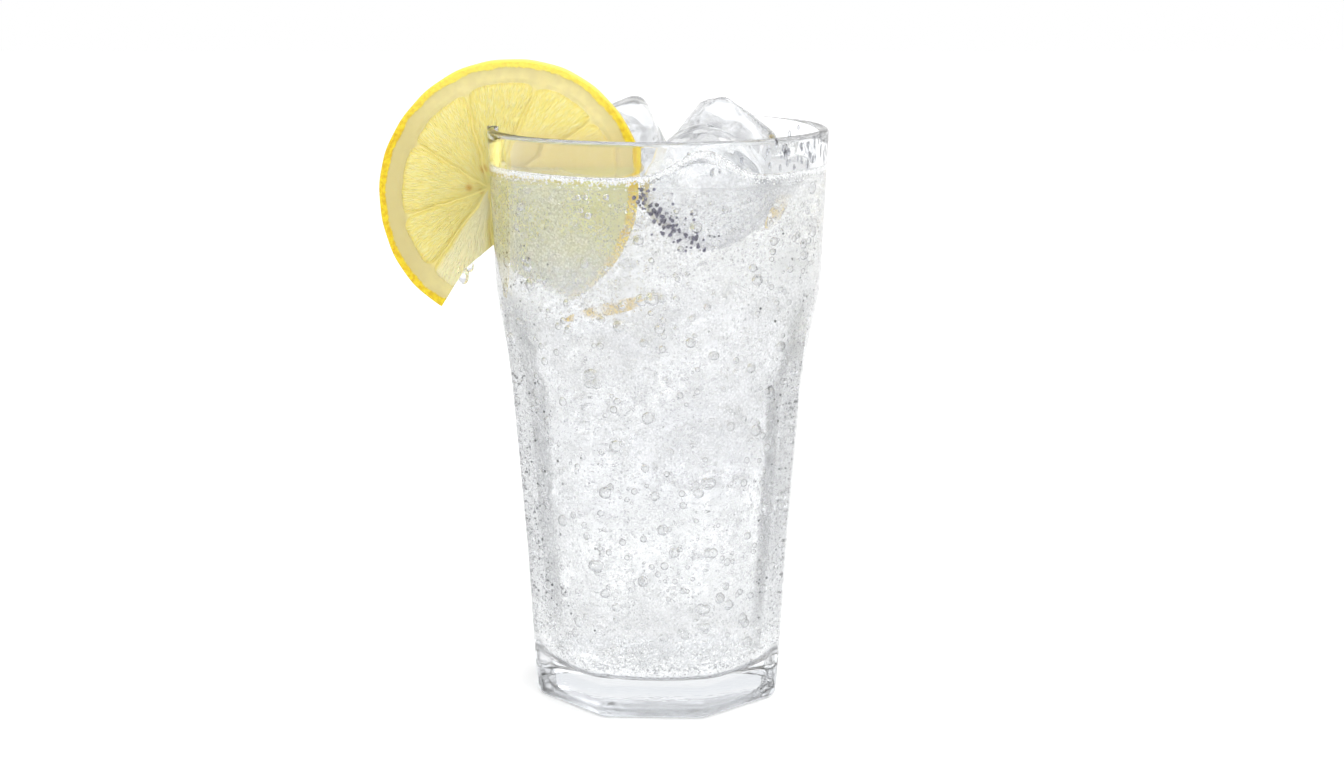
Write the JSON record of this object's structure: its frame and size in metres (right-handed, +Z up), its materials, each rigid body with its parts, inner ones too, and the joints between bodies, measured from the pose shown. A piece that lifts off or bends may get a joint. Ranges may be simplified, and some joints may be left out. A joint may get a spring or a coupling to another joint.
{
  "type": "glass of lemonade",
  "caption": "Tall clear tumbler with a round band over flat panels, filled with sparkling lemonade, ice blocks and a lemon slice hung on its rim.",
  "frame": {"origin": "middle of the tumbler's base, on the surface it stands on", "axes": "+Z up along the tumbler's axis, the lemon slice hangs on the -X side of the rim, -Y is the front that the slice's face looks to"},
  "size_m": [0.1138, 0.0858, 0.1626],
  "materials": {
    "tumbler_glass": "clear pressed glass, smooth",
    "lemonade": "clear, nearly colourless sparkling drink",
    "ice": "clear ice with a cloudy core, wet",
    "lemon": "fresh cut lemon: moist pulp, pale pith, bright yellow peel"
  },
  "bodies": {
    "root": {"tumbler": "tumbler_glass", "drink": "lemonade", "lemon_slice": "lemon", "ice_front": "ice", "ice_left": "ice", "ice_right": "ice"}
  },
  "joints": []
}
